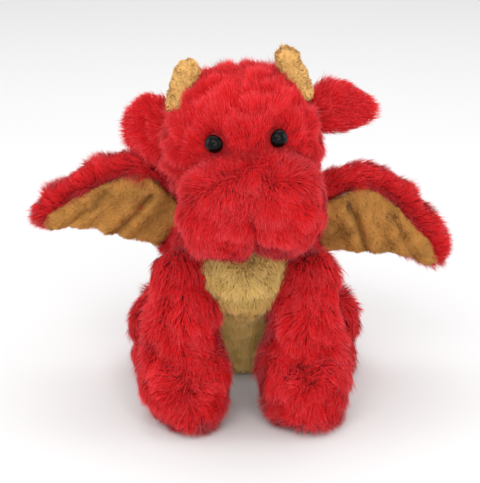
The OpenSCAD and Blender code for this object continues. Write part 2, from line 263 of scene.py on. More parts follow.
def from_hind_leg(points, side):
    """Distance outside a hind leg."""
    return from_rod(points, mirrored(HIP, side), mirrored(FOOT, side), THIGH_RADIUS, FOOT_RADIUS)


def from_limbs(points):
    """Distance outside the nearest leg."""
    return np.minimum.reduce([
        leg(points, side) for leg in (from_front_leg, from_hind_leg) for side in (1, -1)
    ])


def body_bag():
    """The body's skin before its panels are told apart."""
    bm = bmesh.new()
    lean = math.atan2(-spine[1], spine[2])
    place = Matrix.Translation(Vector(BASE)) @ Matrix.Rotation(lean, 4, "X")
    place = place @ Matrix.Translation((0, 0, BODY_MIDDLE))
    sizes = [size - SKIN_DEPTH for size in (BODY_RADIUS, BODY_UP, BODY_DOWN)]
    add_egg(bm, place, *sizes, BODY_ROUNDNESS)
    add_ball(bm, neck, NECK_RADIUS - SKIN_DEPTH)
    add_ball(bm, CHEST, CHEST_RADIUS - SKIN_DEPTH)
    for side in (1, -1):
        add_ball(bm, CHEST + np.array((24.0 * side, 2.0, 0.0)), 17)
    made = stuffed("body_bag", bm, 3.2, 4)
    points = points_of(made)
    points[:, 2] = np.maximum(points[:, 2], FLOOR_GAP)
    move_points(made, points)
    press_in(made, lambda p: from_limbs(p) < -SKIN_DEPTH + 1.5)
    return made


body_bag_skin = body_bag()
OPENING = 41.5


def cut_opening(made):
    """Opens the base round the bound edge of the hand opening."""
    points = points_of(made)
    low = (points[:, 2] < FLOOR_GAP + 0.6) & (np.hypot(points[:, 0], points[:, 1]) < OPENING)
    bm = bmesh.new()
    bm.from_mesh(made.data)
    bm.verts.ensure_lookup_table()
    bmesh.ops.delete(bm, geom=[bm.verts[i] for i in np.flatnonzero(low)], context="VERTS")
    bm.to_mesh(made.data)
    bm.free()
    points = points_of(made)
    radius = np.hypot(points[:, 0], points[:, 1])
    rim = (points[:, 2] < FLOOR_GAP + 0.6) & (radius < OPENING + 3.4)
    points[rim, :2] *= (OPENING / np.maximum(radius[rim], 1.0))[:, None]
    move_points(made, points)


cut_opening(body_bag_skin)

BELLY_HALF = 28.0
BELLY_FRONT = 26.0
belly_wobble = Ripple(41, 26.0)


def in_belly(points):
    """True where the gold front panel is."""
    front = (points - BASE) @ spine_front
    edge = BELLY_HALF + belly_wobble(points) * 1.2
    return (np.abs(points[:, 0]) < edge) & (front > BELLY_FRONT)


def part_of(made, name, keep):
    """A copy of a skin with only the faces whose middles are kept."""
    mesh = made.data.copy()
    piece = new_object(name, mesh)
    bm = bmesh.new()
    bm.from_mesh(mesh)
    middles = np.array([face.calc_center_median()[:] for face in bm.faces]) / MM
    drop = [face for face, kept in zip(bm.faces, keep(middles)) if not kept]
    bmesh.ops.delete(bm, geom=drop, context="FACES")
    bm.to_mesh(mesh)
    bm.free()
    return piece


def give_thickness(made, thickness=1.2):
    """Turns a skin's surface into fabric of a real thickness, inwards."""
    wall = made.modifiers.new("wall", "SOLIDIFY")
    wall.thickness = thickness * MM
    wall.offset = -1.0
    settle(made)


class Wire:
    """A value in a material, so that shader maths reads as plain sums."""

    def __init__(self, finish, socket):
        self.finish = finish
        self.socket = socket

    def maths(self, operation, a, b=0.0):
        return self.finish.node("Math", {"operation": operation}, {0: a, 1: b})

    def __add__(self, other):
        return self.maths("ADD", self, other)

    __radd__ = __add__

    def __mul__(self, other):
        return self.maths("MULTIPLY", self, other)

    __rmul__ = __mul__

    def __sub__(self, other):
        return self.maths("SUBTRACT", self, other)

    def __rsub__(self, other):
        return self.maths("SUBTRACT", other, self)


class Finish:
    """A procedural material being put together."""

    def __init__(self, name, **values):
        self.material = bpy.data.materials.new(name)
        self.material.use_nodes = True
        self.tree = self.material.node_tree
        self.shader = self.tree.nodes["Principled BSDF"]
        for socket, value in values.items():
            self.shader.inputs[socket.replace("_", " ")].default_value = value

    def node(self, kind, settings, sockets, output=0):
        """Adds a node: its settings first, then the values or wires of its sockets."""
        made = self.tree.nodes.new("ShaderNode" + kind)
        for name, value in settings.items():
            if name == "stops":
                self.set_stops(made.color_ramp, value)
            else:
                setattr(made, name, value)
        for name, value in sockets.items():
            if isinstance(value, Wire):
                self.tree.links.new(value.socket, made.inputs[name])
            else:
                made.inputs[name].default_value = value
        return Wire(self, made.outputs[output])

    @staticmethod
    def set_stops(ramp, stops):
        """Gives a colour ramp its stops."""
        while len(ramp.elements) < len(stops):
            ramp.elements.new(1.0)
        for element, (place, colour) in zip(ramp.elements, stops):
            element.position = place
            element.color = (*colour, 1.0)

    def mix(self, a, b, factor, kind="MIX"):
        """Two colours mixed, or multiplied."""
        return self.node("Mix", {"data_type": "RGBA", "blend_type": kind}, {0: factor, 6: a, 7: b}, 2)

    def own_place(self):
        """The place of a point in the object's own space."""
        return self.node("TexCoord", {}, {}, 3)

    def noise(self, scale, detail=3.0):
        """Noise in the object's own space."""
        return self.node("TexNoise", {}, {"Vector": self.own_place(), "Scale": scale, "Detail": detail})

    def bands(self, direction, scale, distortion=0.0):
        """Even bands across the object, as threads lie in a cloth."""
        sockets = {"Vector": self.own_place(), "Scale": scale, "Distortion": distortion}
        return self.node("TexWave", {"bands_direction": direction}, sockets)

    def feed(self, socket, wire):
        """Leads a wire into the main shader."""
        self.tree.links.new(wire.socket, self.shader.inputs[socket])

    def colour(self, wire, *stops):
        """Colours the surface along a ramp, by a wire's value."""
        self.feed("Base Color", self.node("ValToRGB", {"stops": stops}, {0: wire}))

    def bump(self, height, strength, distance):
        """Raises the surface by a wire's value."""
        raised = self.node("Bump", {}, {"Height": height, "Strength": strength, "Distance": distance})
        self.feed("Normal", raised)

    def put_on(self, made):
        """Makes this the object's only material."""
        made.data.materials.clear()
        made.data.materials.append(self.material)


def cover(made, finish, body, node):
    """Finishes a soft piece, hangs it on its body and puts it in its node's place."""
    finish.put_on(made)
    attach(made, body)
    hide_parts(node)


def shades(colour, *factors):
    """The same colour at several strengths."""
    return [tuple(c * f for c in colour) for f in factors]


PATCH_SCALE = 90.0
KNIT_SCALE = 1400.0


def backing_finish(name, dark, light):
    """Knitted backing of a pile fabric, seen only between the hairs."""
    finish = Finish(name, Roughness=0.95)
    patch = finish.noise(PATCH_SCALE)
    knit = finish.noise(KNIT_SCALE, 2.0)
    finish.colour(patch, (0.3, dark), (0.75, light))
    finish.bump(knit + patch * 0.5, 0.5, 0.0006)
    return finish


def pile_finish(name, shaded_roots, middle, lit_tips, darkest, sheen, sheen_tint, roughness=0.62):
    """Hair colour: painted shade deep at the root, clear in the middle, painted light paler at the tip,
    uneven from tuft to tuft, with painted shade or light mixed into the tuft tone.
    """
    finish = Finish(name, Roughness=roughness)
    finish.shader.inputs["Specular IOR Level"].default_value = 0.08
    finish.shader.inputs["Sheen Weight"].default_value = sheen
    finish.shader.inputs["Sheen Roughness"].default_value = 0.3
    finish.shader.inputs["Sheen Tint"].default_value = (*sheen_tint, 1.0)
    hair = finish.node("UVMap", {"uv_map": "OFBake"}, {})
    tuft = finish.node("SeparateXYZ", {}, {0: hair}, 0)
    along = finish.node("SeparateXYZ", {}, {0: hair}, 1)
    # The root stop is painted shade between the hairs, and the tip stop is painted light shining through the
    # hair tips.
    stops = [(0.0, shaded_roots), (0.45, middle), (0.7, middle), (1.0, lit_tips)]
    colour = finish.node("ValToRGB", {"stops": stops}, {0: along})
    low, high = (darkest,) * 3, (1.0, 1.0, 1.0)
    # The tuft tone is random from hair to hair, multiplied by the painted shade or light that fur's shade
    # function gives.
    tone = finish.node("ValToRGB", {"stops": [(0.0, low), (0.85, high)]}, {0: tuft})
    finish.feed("Base Color", finish.mix(colour, tone, 1.0, "MULTIPLY"))
    return finish


# In the red pile, the deep root colour is painted shade between the hairs, and the pale tip colour is
# painted light through the hair tips.
RED_ROOT = (0.36, 0.003, 0.004)
RED = (0.68, 0.009, 0.012)
RED_TIP_LIT = (1.0, 0.10, 0.12)
red_backing = backing_finish("red_backing", *shades(RED_ROOT, 0.6, 1.3))
red_pile = pile_finish("red_pile", RED_ROOT, RED, RED_TIP_LIT, 0.62, 0.75, (1.0, 0.22, 0.25))

HAIR_LEVELS = 3


def scatter(skin, density, keep, draw, most):
    """Even random places on a skin: points and normals, in millimetres."""
    mesh = skin.data
    mesh.calc_loop_triangles()
    corners = np.empty(len(mesh.loop_triangles) * 3, np.int32)
    mesh.loop_triangles.foreach_get("vertices", corners)
    corners = corners.reshape(-1, 3)
    points, normals = points_of(skin), normals_of(skin)
    a, b, c = (points[corners[:, i]] for i in range(3))
    area = np.linalg.norm(np.cross(b - a, c - a), axis=1) / 2
    share = area * keep((a + b + c) / 3)
    count = int(min(share.sum() * density, most))
    chosen = draw.choice(len(corners), size=count, p=share / share.sum())
    u, v = draw.random(count), draw.random(count)
    over = u + v > 1
    u[over], v[over] = 1 - u[over], 1 - v[over]
    weights = np.stack([1 - u - v, u, v], axis=1)
    place = (points[corners[chosen]] * weights[:, :, None]).sum(axis=1)
    facing = unit((normals[corners[chosen]] * weights[:, :, None]).sum(axis=1))
    return place, facing


def gather_tips(strands, draw, strength, share=0.05):
    """Leans each hair's tip towards the middle hair of its tuft."""
    count = len(strands)
    leaders = draw.choice(count, size=max(int(count * share), 1), replace=False)
    tree = kdtree.KDTree(len(leaders))
    for i, leader in enumerate(leaders):
        tree.insert(strands[leader, 0], i)
    tree.balance()
    own = leaders[[tree.find(root)[1] for root in strands[:, 0]]]
    pull = strength * draw.uniform(0.5, 1.0, size=(count, 1))
    levels = strands.shape[1]
    for level in range(1, levels):
        amount = pull * (level / (levels - 1)) ** 1.5
        strands[:, level] += (strands[own, level] - strands[:, level]) * amount


def fur(name, skin, body, finish, comb, length, seed, density=2.5, width=0.38, keep=None,
        lift=1.0, wild=0.2, tuft=0.2, most=64000, shade=None, curl=0.0):
    """Grows a piece of pile on a skin. comb gives the way the hair lies at each root."""
    levels = HAIR_LEVELS
    draw = np.random.default_rng(seed)
    keep = keep or (lambda p: np.ones(len(p)))
    root, facing = scatter(skin, density, keep, draw, most)
    count = len(root)
    lie = comb(root, facing)
    lie = lie - facing * (lie * facing).sum(axis=1, keepdims=True)
    sway = ripple_vector(seed, 8.0, root) * 0.10 + ripple_vector(seed + 9, 32.0, root) * 0.15
    loose = draw.normal(size=(count, 3)) * wild
    long = length * (1 + 0.16 * Ripple(seed + 5, 17.0)(root)) * draw.uniform(0.72, 1.08, count)
    # shade gives each hair a painted shade or painted light factor for its tone, and a length factor.
    if callable(shade):
        painted_shading, short = shade(root)
        long = long * short
    else:
        painted_shading = np.ones(count)
    step = (long / (levels - 1))[:, None]
    strands = np.empty((count, levels, 3))
    strands[:, 0] = root - facing * 0.4
    way = None
    for level in range(1, levels):
        bend = (level - 1) / max(levels - 2, 1)
        way = facing * lift * (1.0 - 0.72 * bend) + lie * (0.45 + 0.75 * bend) + sway * (0.5 + bend) + loose
        if curl:
            way = way + draw.normal(size=(count, 3)) * curl
        way = unit(way)
        strands[:, level] = strands[:, level - 1] + way * step
    gather_tips(strands, draw, tuft)
    floor = FLOOR_GAP * 0.3
    strands[:, :, 2] = np.maximum(strands[:, :, 2], floor + draw.uniform(0, 0.8, size=(count, 1)))
    heading = unit(strands[:, -1] - strands[:, 0])
    across = unit(np.cross(heading, facing) + 1e-4)
    over = np.cross(across, heading)
    over *= np.sign((over * facing).sum(axis=1, keepdims=True))
    roll = draw.uniform(-1.05, 1.05, size=(count, 1))
    half = (across * np.cos(roll) + over * np.sin(roll)) * width * draw.uniform(0.35, 0.6, (count, 1))
    outward = over * np.cos(roll) - across * np.sin(roll)
    # Each hair's tone is random, then multiplied by the painted shade or light.
    tone = 0.70 + 0.09 * Ripple(seed + 3, 14.0)(root) + draw.normal(size=count) * 0.12
    tone = np.clip(tone * painted_shading, 0.02, 0.98)
    per = 2 * levels - 1
    place = np.empty((count, per, 3))
    along = np.empty((count, per))
    for level in range(levels - 1):
        taper = 1.0 - 0.35 * level / (levels - 1)
        place[:, 2 * level] = strands[:, level] - half * taper
        place[:, 2 * level + 1] = strands[:, level] + half * taper
        along[:, 2 * level] = along[:, 2 * level + 1] = level / (levels - 1)
    place[:, -1] = strands[:, -1]
    along[:, -1] = 0.985
    soft = unit(facing * 0.75 + outward * 0.35 + heading * 0.2)
    made = hair_mesh(name, place, along, tone, soft)
    finish.put_on(made)
    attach(made, body)


def hair_mesh(name, place, along, tone, soft):
    """Builds the ribbons of one piece of pile as a single mesh."""
    count, per = along.shape
    quads = HAIR_LEVELS - 2
    pattern = []
    for level in range(quads):
        pattern += [2 * level, 2 * level + 1, 2 * level + 3, 2 * level + 2]
    pattern += [2 * quads, 2 * quads + 1, per - 1]
    loops_each = len(pattern)
    index = (np.arange(count)[:, None] * per + np.array(pattern)).ravel().astype(np.int32)
    sizes = np.tile(np.array([4] * quads + [3]), count)
    starts = (np.cumsum(sizes) - sizes).astype(np.int32)
    mesh = bpy.data.meshes.new(name)
    mesh.vertices.add(count * per)
    mesh.vertices.foreach_set("co", (place * MM).astype(np.float32).ravel())
    mesh.loops.add(len(index))
    mesh.loops.foreach_set("vertex_index", index)
    mesh.polygons.add(len(sizes))
    mesh.polygons.foreach_set("loop_start", starts)
    mesh.update(calc_edges=True)
    strand = np.repeat(np.arange(count), loops_each)
    uv = np.stack([tone[strand], along.ravel()[index]], axis=1)
    layer = mesh.uv_layers.new(name="OFBake")
    layer.uv.foreach_set("vector", uv.astype(np.float32).ravel())
    made = new_object(name, mesh)
    mesh.polygons.foreach_set("use_smooth", np.ones(len(sizes), bool))
    mesh.normals_split_custom_set_from_vertices(np.repeat(soft, per, axis=0).astype(np.float32))
    return made


def down_body(points, facing):
    """The way the body's hair lies: down its length, a little outwards."""
    lie = np.tile(-spine * 0.9 + np.array((0.0, 0.0, -0.35)), (len(points), 1))
    lie[:, 0] += np.sign(points[:, 0]) * 0.15
    return lie


def body_fur_keep(points):
    """Hair grows only where it can be seen: not under the base, in a leg's pocket or inside the head."""
    bare = from_limbs(points) < -2.0
    bare |= points[:, 2] < FLOOR_GAP + 1.5
    bare |= (points[:, 2] > neck[2] - 4) & (from_ball(points, neck, 34) < 0)
    return np.where(bare, 0.0, 1.0)


red_body = part_of(body_bag_skin, "body_skin_red", lambda p: ~in_belly(p))
for side, word in ((1, "left"), (-1, "right")):
    fur(
        f"body_fur_{word}", red_body, "torso", red_pile, down_body, 13.0, 100 + side,
        density=1.8, width=0.52, most=62000,
        keep=lambda p, side=side: body_fur_keep(p) * (p[:, 0] * side > 0),
    )
give_thickness(red_body)
cover(red_body, red_backing, "torso", "body_skin")

# ---- Belly panel ----
# The chest and belly are one panel of gold pile fabric, shorter than the red fur.
# It is sewn edge to edge with the red panels, whose longer hair laps over the seam.

# In the gold pile, the deep root colour is painted shade between the hairs, and the pale tip colour is
# painted light through the hair tips.
GOLD_ROOT = (0.50, 0.28, 0.075)
GOLD = (0.84, 0.55, 0.17)
GOLD_TIP_LIT = (0.92, 0.72, 0.34)
gold_backing = backing_finish("gold_backing", *shades(GOLD_ROOT, 0.8, 1.6))
gold_pile = pile_finish("gold_pile", GOLD_ROOT, GOLD, GOLD_TIP_LIT, 0.55, 0.15, (1.0, 0.85, 0.6))


def down_belly(points, facing):
    """Belly hair lies down and slightly in towards the middle."""
    lie = np.tile((0.0, -0.1, -1.0), (len(points), 1))
    lie[:, 0] -= points[:, 0] * 0.008
    return lie


def shade_belly(points):
    """Painted light below the chest, and a little painted shade on the chest."""
    low = 1 - smooth_step(points[:, 2], 50, 66)
    return 0.85 + 0.5 * low, np.ones(len(points))


gold_belly = part_of(body_bag_skin, "belly_panel_gold", in_belly)
fur(
    "belly_fur", gold_belly, "torso", gold_pile, down_belly, 9.0, 140, density=3.2, width=0.42,
    keep=body_fur_keep, lift=1.5, wild=0.3, tuft=0.35, shade=shade_belly,
)
give_thickness(gold_belly)
cover(gold_belly, gold_backing, "torso", "belly_panel")
bpy.data.objects.remove(body_bag_skin)

# ---- Head skin ----
# The head is an egg-shaped bag of the same red fur, hollowed below so that it caps the neck.
# Its hair is brushed up and back from the brow, and parts in the middle of the crown.

HEAD_TURN = Euler((0.0, math.radians(-4), math.radians(4)), "XYZ").to_matrix()
HEAD_AXES = np.array(HEAD_TURN)
HEAD_PLACE = Matrix.Translation(Vector(neck)) @ HEAD_TURN.to_4x4()
SKULL = np.array((0.0, -20.0, 30.0))
SKULL_RADIUS = 50
SKULL_UP = 55
SKULL_DOWN = 46
EYE_HEIGHT = 48
EYE_SIDE = math.radians(26)
EYE_OUT = 45


def to_head(points):
    """Points in the head's own frame, whose origin is the neck."""
    return (points - neck) @ HEAD_AXES


def from_head(vectors):
    """Directions out of the head's own frame."""
    return vectors @ HEAD_AXES.T


def eye_place(side, out=EYE_OUT):
    """The middle of an eye, in the head's own frame."""
    return np.array((math.sin(EYE_SIDE) * side * out, SKULL[1] - math.cos(EYE_SIDE) * out, EYE_HEIGHT))


def head_bag():
    """The head's skin, with hollows for the neck and the eyes."""
    bm = bmesh.new()
    place = HEAD_PLACE @ Matrix.Translation(Vector(SKULL))
    sizes = [size - SKIN_DEPTH for size in (SKULL_RADIUS, SKULL_UP, SKULL_DOWN)]
    add_egg(bm, place, *sizes, SKULL_ROUNDNESS)
    made = stuffed("head_skin_red", bm, 3.0, 3)
    press_in(made, lambda p: from_ball(p, neck, NECK_RADIUS + SKIN_DEPTH) < 0)
    return made


def comb_head(points, facing):
    """Brushed up and back over the brow, out and down over the cheeks."""
    p = to_head(points)
    cheek = smooth_step(np.abs(p[:, 0]), 22, 44)
    high = smooth_step(p[:, 2] - 26 * cheek, 14, 40)
    lie = np.zeros_like(p)
    lie[:, 0] = p[:, 0] / 50 * (0.5 + 0.5 * (1 - high))
    lie[:, 1] = 0.35 * high + 0.25
    lie[:, 2] = 1.0 * high - 0.8 * (1 - high)
    for side in (1, -1):
        away = p - eye_place(side, 50)
        near = np.exp(-((away ** 2).sum(axis=1)) / 8.0 ** 2)[:, None]
        lie = lie * (1 - near) + unit(away) * near * 1.3
    return from_head(lie)


def shade_head(points):
    """Painted shade and shorter hair in the eye hollows and above the muzzle; shorter hair along the
    parting.
    """
    p = to_head(points)
    painted_shading = np.ones(len(p))
    short = np.ones(len(p))
    for side in (1, -1):
        reach = np.linalg.norm(p - eye_place(side, 47), axis=1)
        # Painted shade in the eye hollow.
        painted_shading *= 0.12 + 0.88 * smooth_step(reach, 6.5, 12)
        short *= 0.45 + 0.55 * smooth_step(reach, 6.0, 15)
    crown = np.exp(-(p[:, 0] / 4.0) ** 2) * smooth_step(p[:, 2], 62, 76)
    short *= 1 - 0.45 * crown
    gap = from_muzzle(p)
    # Painted shade where the muzzle meets the face.
    painted_shading *= 0.30 + 0.70 * smooth_step(gap, 1, 10)
    short *= 0.40 + 0.60 * smooth_step(gap, 2, 16)
    return painted_shading, short


def keep_head(points):
    """No hair inside the neck hollow, under the muzzle or in front of an eye."""
    p = to_head(points)
    bare = np.linalg.norm(p, axis=1) < NECK_RADIUS + SKIN_DEPTH + 1.5
    for side in (1, -1):
        bare |= np.linalg.norm(p - eye_place(side), axis=1) < 6.1
    return np.where(bare, 0.0, np.where(from_muzzle(p) < -6, 0.15, 1.0))


MUZZLE = np.array((0.0, -60.0, 4.0))
LOBE_RADIUS = 31
LOBE_SPREAD = 16
BRIDGE_RADIUS = 28
CREST = (12.0, -56.0, 17.0)
CREST_RADIUS = 22


def from_muzzle(head_points):
    """Distance outside the muzzle, for points in the head's own frame."""
    side_by_side = np.array((LOBE_SPREAD, 0.0, 0.0))
    return np.minimum.reduce([
        from_ball(head_points, MUZZLE + side_by_side, LOBE_RADIUS),
        from_ball(head_points, MUZZLE - side_by_side, LOBE_RADIUS),
        from_rod(head_points, MUZZLE - side_by_side, MUZZLE + side_by_side, BRIDGE_RADIUS, BRIDGE_RADIUS),
        from_rod(head_points, mirrored(CREST, -1), mirrored(CREST, 1), CREST_RADIUS, CREST_RADIUS),
    ])


head_skin = head_bag()
for side, word in ((1, "left"), (-1, "right")):
    fur(
        f"head_fur_{word}", head_skin, "head", red_pile, comb_head, 12.5, 200 + side,
        density=3.2, most=62000, shade=shade_head,
        keep=lambda p, side=side: keep_head(p) * (to_head(p)[:, 0] * side > 0),
    )
cover(head_skin, red_backing, "head", "head_skin")

# ---- Muzzle ----
# The muzzle is a separate two-lobed cushion of red fur, stuffed firmly and sewn on below the eyes.
# Strong dark thread down its middle pulls in the cleft, and its hair is brushed out and down.

CLEFT_DEPTH = 4.0


def muzzle_bag():
    """The muzzle's skin with its stitched cleft."""
    bm = bmesh.new()
    middle = HEAD_PLACE @ Vector(MUZZLE)
    spread = Vector(from_head(np.array((LOBE_SPREAD, 0.0, 0.0))))
    add_ball(bm, middle + spread, LOBE_RADIUS - SKIN_DEPTH)
    add_ball(bm, middle - spread, LOBE_RADIUS - SKIN_DEPTH)
    add_rod(bm, middle - spread, middle + spread, BRIDGE_RADIUS - SKIN_DEPTH, BRIDGE_RADIUS - SKIN_DEPTH)
    ends = [HEAD_PLACE @ Vector(mirrored(CREST, side)) for side in (1, -1)]
    add_rod(bm, *ends, CREST_RADIUS - SKIN_DEPTH, CREST_RADIUS - SKIN_DEPTH)
    for end in ends:
        add_ball(bm, end, CREST_RADIUS - SKIN_DEPTH)
    made = stuffed("muzzle_skin_red", bm, 2.5, 5)
    points, normals = points_of(made), normals_of(made)
    p = to_head(points)
    line = np.exp(-(p[:, 0] / 5.0) ** 2)
    lower = smooth_step(MUZZLE[2] + 2 - p[:, 2], -10, 12) * smooth_step(MUZZLE[1] - p[:, 1], -20, 0)
    points -= normals * (line * lower * CLEFT_DEPTH)[:, None]
    move_points(made, points)
    return made


def comb_muzzle(points, facing):
    """Up off the crest, then down and out over the lobes and off the cleft."""
    p = to_head(points)
    crest = smooth_step(p[:, 2:] + 0.25 * np.abs(p[:, :1]), 24, 36)
    lie = np.array((0.0, -0.4, -0.9)) * (1 - crest) + np.array((0.0, 0.1, 0.7)) * crest
    lie[:, 0] = p[:, 0] / 60
    close = np.exp(-(p[:, 0] / 9.0) ** 2)
    lie[:, 0] += np.sign(p[:, 0]) * close * 0.15 * smooth_step(-p[:, 2], -10, 10)
    return from_head(lie)


def shade_muzzle(points):
    """Painted shade and shorter hair in the cleft, and painted shade rising towards the top, where the
    muzzle meets the face.
    """
    p = to_head(points)
    lower = smooth_step(MUZZLE[2] + 6 - p[:, 2], -8, 12)
    cleft = np.exp(-(p[:, 0] / 2.6) ** 2) * lower
    top_shade = 0.25 * smooth_step(p[:, 2], -6, 22)
    return (1 - 0.85 * cleft) * (1 - top_shade), 1 - 0.4 * cleft


def keep_muzzle(points):
    """Hair only on the part of the cushion that stands out of the face."""
    p = to_head(points)
    deep = np.linalg.norm((p - SKULL) * (1, 1, 0), axis=1) < 36
    deep &= p[:, 2] > SKULL[2] - 34
    return np.where(deep, 0.0, 1.0)


muzzle_skin = muzzle_bag()
fur(
    "muzzle_fur", muzzle_skin, "head", red_pile, comb_muzzle, 11.5, 230, density=4.2, width=0.4,
    keep=keep_muzzle, shade=shade_muzzle,
)
cover(muzzle_skin, red_backing, "head", "muzzle_skin")

thread = Finish("dark_thread", Roughness=0.6)
twist = thread.bands("DIAGONAL", 700.0)
thread.colour(twist, (0.2, (0.05, 0.002, 0.003)), (0.8, (0.14, 0.005, 0.007)))
thread.bump(twist, 0.5, 0.0002)
THREAD_RADIUS = 0.6
THREAD_STEPS = 12
THREAD_START = -5
THREAD_SWEEP = -60
bm = bmesh.new()
stitch_line = []
for step in range(THREAD_STEPS + 1):
    turn = math.radians(THREAD_START + THREAD_SWEEP * step / THREAD_STEPS)
    reach = BRIDGE_RADIUS - SKIN_DEPTH - CLEFT_DEPTH + 0.8
    point = MUZZLE + np.array((0.0, -math.cos(turn), math.sin(turn))) * reach
    stitch_line.append(HEAD_PLACE @ Vector(point))
for a, b in zip(stitch_line, stitch_line[1:]):
    add_rod(bm, a, b, THREAD_RADIUS, THREAD_RADIUS)
bmesh.ops.scale(bm, vec=(MM, MM, MM), verts=bm.verts)
stitch_mesh = bpy.data.meshes.new("muzzle_thread")
bm.to_mesh(stitch_mesh)
bm.free()
muzzle_thread = new_object("muzzle_thread", stitch_mesh)
thread.put_on(muzzle_thread)
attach(muzzle_thread, "head")
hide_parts("muzzle_stitch")

# ---- Eyes ----
# Each eye is a black moulded dome on a shank, pushed through the skin and locked by a washer inside.
# The domes are polished, so they carry a soft highlight.

eye_black = Finish("eye_black", Roughness=0.1)
eye_black.shader.inputs["Specular IOR Level"].default_value = 0.12
depth = eye_black.noise(400.0)
eye_black.colour(depth, (0.3, (0.001, 0.001, 0.001)), (0.8, (0.004, 0.003, 0.003)))
eye_black.feed("Roughness", depth * 0.06 + 0.07)
washer_white = Finish("washer_white", Roughness=0.45)
cast = washer_white.noise(220.0)
washer_white.colour(cast, (0.3, (0.70, 0.70, 0.68)), (0.7, (0.84, 0.84, 0.81)))
washer_white.bump(cast, 0.2, 0.0002)
for node in ("eye_left", "eye_right"):
    eye_black.put_on(frame["nodes"][node])
washer_white.put_on(frame["nodes"]["eye_washers"])

# ---- Horns ----
# Each horn is a stuffed cone of curly gold plush with its tip bent in, sewn into the crown.
# The plush is short and tightly curled.

HORN_SEAT = np.array((36.0, -19.0, 62.0))
HORN_LENGTH = 24
HORN_RADIUS = 10
HORN_KNEE = 8
HORN_TIP = 6.5
HORN_PILE = 0.2
HORN_MORE = {1: 3.5, -1: 1.0}
plush_backing = backing_finish("plush_backing", (0.44, 0.21, 0.06), (0.66, 0.36, 0.12))
# The root and tip stops are painted shade between the curls and painted light through their tips.
horn_pile = pile_finish(
    "horn_pile", (0.62, 0.32, 0.08), (0.88, 0.52, 0.17), (0.95, 0.70, 0.32), 0.75, 0.12, (1.0, 0.85, 0.6),
)


def horn_frame(side):
    """Where a horn stands, tilted a little outwards."""
    tilt = Euler((math.radians(2), math.radians(-2 * side), 0.0), "XYZ").to_matrix().to_4x4()
    return HEAD_PLACE @ Matrix.Translation(Vector(mirrored(HORN_SEAT, side))) @ tilt


def horn_bag(side, word):
    """One horn's skin."""
    place = horn_frame(side)
    bend = place @ Matrix.Translation((0, 0, HORN_LENGTH * 0.55))
    bend = bend @ Matrix.Rotation(math.radians(-16 * side), 4, "Y")
    knee = bend @ Vector((0, 0, 0))
    tip = bend @ Vector((0, 0, HORN_LENGTH * 0.4 + HORN_MORE[side]))
    bm = bmesh.new()
    seat_radius, knee_radius, tip_radius = (r - HORN_PILE for r in (HORN_RADIUS, HORN_KNEE, HORN_TIP))
    add_rod(bm, place @ Vector((0, 0, -1)), knee, seat_radius, knee_radius)
    add_ball(bm, knee, knee_radius)
    add_rod(bm, knee, tip, knee_radius, tip_radius)
    add_ball(bm, tip, tip_radius + 0.4)
    made = stuffed(f"horn_{word}_plush", bm, 1.2, 4)
    points, normals = points_of(made), normals_of(made)
    points += normals * Ripple(300 + side, 7.0)(points)[:, None] * 0.35
    move_points(made, points)
    return made


for side, word in ((1, "left"), (-1, "right")):
    horn = horn_bag(side, word)
    fur(
        f"horn_curls_{word}", horn, "head", horn_pile, lambda p, n: np.tile((0.0, 0.0, 0.35), (len(p), 1)),
        4.0, 310 + side, density=12.0, width=0.46, wild=0.5, tuft=0.5, curl=0.8, most=30000,
    )
    cover(horn, plush_backing, "head", f"horn_{word}")

# ---- Ears ----
# Each ear is a flat leaf of red fur on both faces, lightly padded, and sewn along its root.
# The seam lets it flop forwards and back.

EAR_LOW = (48.0, -4.0, 36.0)
EAR_HIGH = (44.0, -4.0, 58.0)
EAR_OUTLINE = [
    (-2, -11), (3, -14), (14, -17), (27, -16), (37, -11), (42, -3),
    (39, 6), (29, 13), (14, 17), (3, 14), (-2, 11),
]
EAR_POSE = {1: (4, 6), -1: (42, -12)}
EAR_STRETCH = {1: (1.0, 1.0), -1: (0.92, 1.25)}


def add_leaf(bm, outline, place, low, high, inset=0.0):
    """A flat closed leaf: an outline in its own plane, from depth low to depth high."""
    middle = np.mean(outline, axis=0)
    edge = []
    for x, y in outline:
        arm = np.array((x, y)) - middle
        reach = np.linalg.norm(arm)
        edge.append(middle + arm * max(reach - inset, 1.0) / reach)
    bottom = [bm.verts.new(place @ Vector((x, y, low))) for x, y in edge]
    top = [bm.verts.new(place @ Vector((x, y, high))) for x, y in edge]
    bm.faces.new(list(reversed(bottom)))
    bm.faces.new(top)
    for k in range(len(edge)):
        n = (k + 1) % len(edge)
        bm.faces.new((bottom[k], bottom[n], top[n], top[k]))
    bmesh.ops.recalc_face_normals(bm, faces=bm.faces)


def ear_frame(side):
    """The plane an ear lies in: outwards, upwards, and through its thickness."""
    back, droop = EAR_POSE[side]
    middle = (mirrored(EAR_LOW, side) + mirrored(EAR_HIGH, side)) / 2
    place = HEAD_PLACE @ Matrix.Translation(Vector(middle))
    if side < 0:
        place = place @ Matrix.Diagonal((-1, 1, 1, 1))
    place = place @ Matrix.Rotation(math.radians(back), 4, "Z")
    place = place @ Matrix.Rotation(math.radians(-droop), 4, "Y")
    return place @ Matrix.Rotation(math.radians(90), 4, "X")


